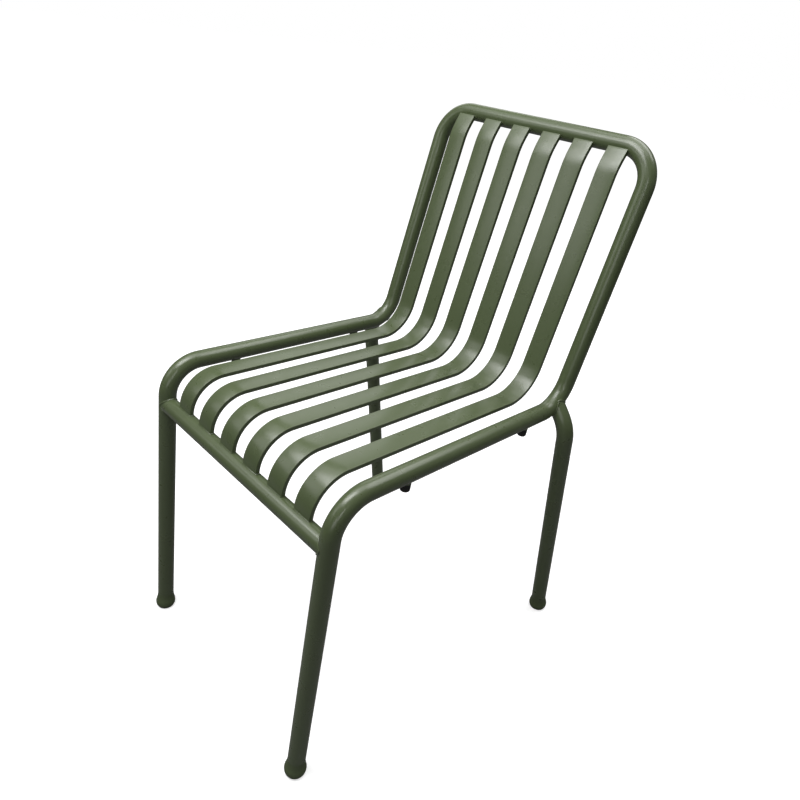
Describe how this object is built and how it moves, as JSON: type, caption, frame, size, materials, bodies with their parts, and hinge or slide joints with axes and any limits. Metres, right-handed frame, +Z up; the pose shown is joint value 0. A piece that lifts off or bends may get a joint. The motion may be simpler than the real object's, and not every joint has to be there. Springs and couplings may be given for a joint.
{
  "type": "garden chair",
  "caption": "Stackable armless garden chair of bent round tube with flat bar slats running from the front edge over the seat and up the back.",
  "frame": {"origin": "on the floor, under the middle of the chair's outer box", "axes": "+Z up, -Y the way the sitter faces, +X the sitter's left"},
  "size_m": [0.4778, 0.5784, 0.8085],
  "materials": {
    "powder_coated_metal": "satin powder coat",
    "foot_plastic": "satin",
    "glide_plastic": "matte",
    "bumper_rubber": "matte"
  },
  "bodies": {
    "root": {"main_frame_tube": "powder_coated_metal", "front_cross_tube": "powder_coated_metal", "slat_1": "powder_coated_metal", "slat_2": "powder_coated_metal", "slat_3": "powder_coated_metal", "slat_4": "powder_coated_metal", "slat_5": "powder_coated_metal", "slat_6": "powder_coated_metal", "rear_leg_right": "powder_coated_metal", "rear_leg_left": "powder_coated_metal", "bumper_bosses": "powder_coated_metal", "feet": "foot_plastic", "glides": "glide_plastic", "stacking_bumpers": "bumper_rubber"}
  },
  "joints": []
}
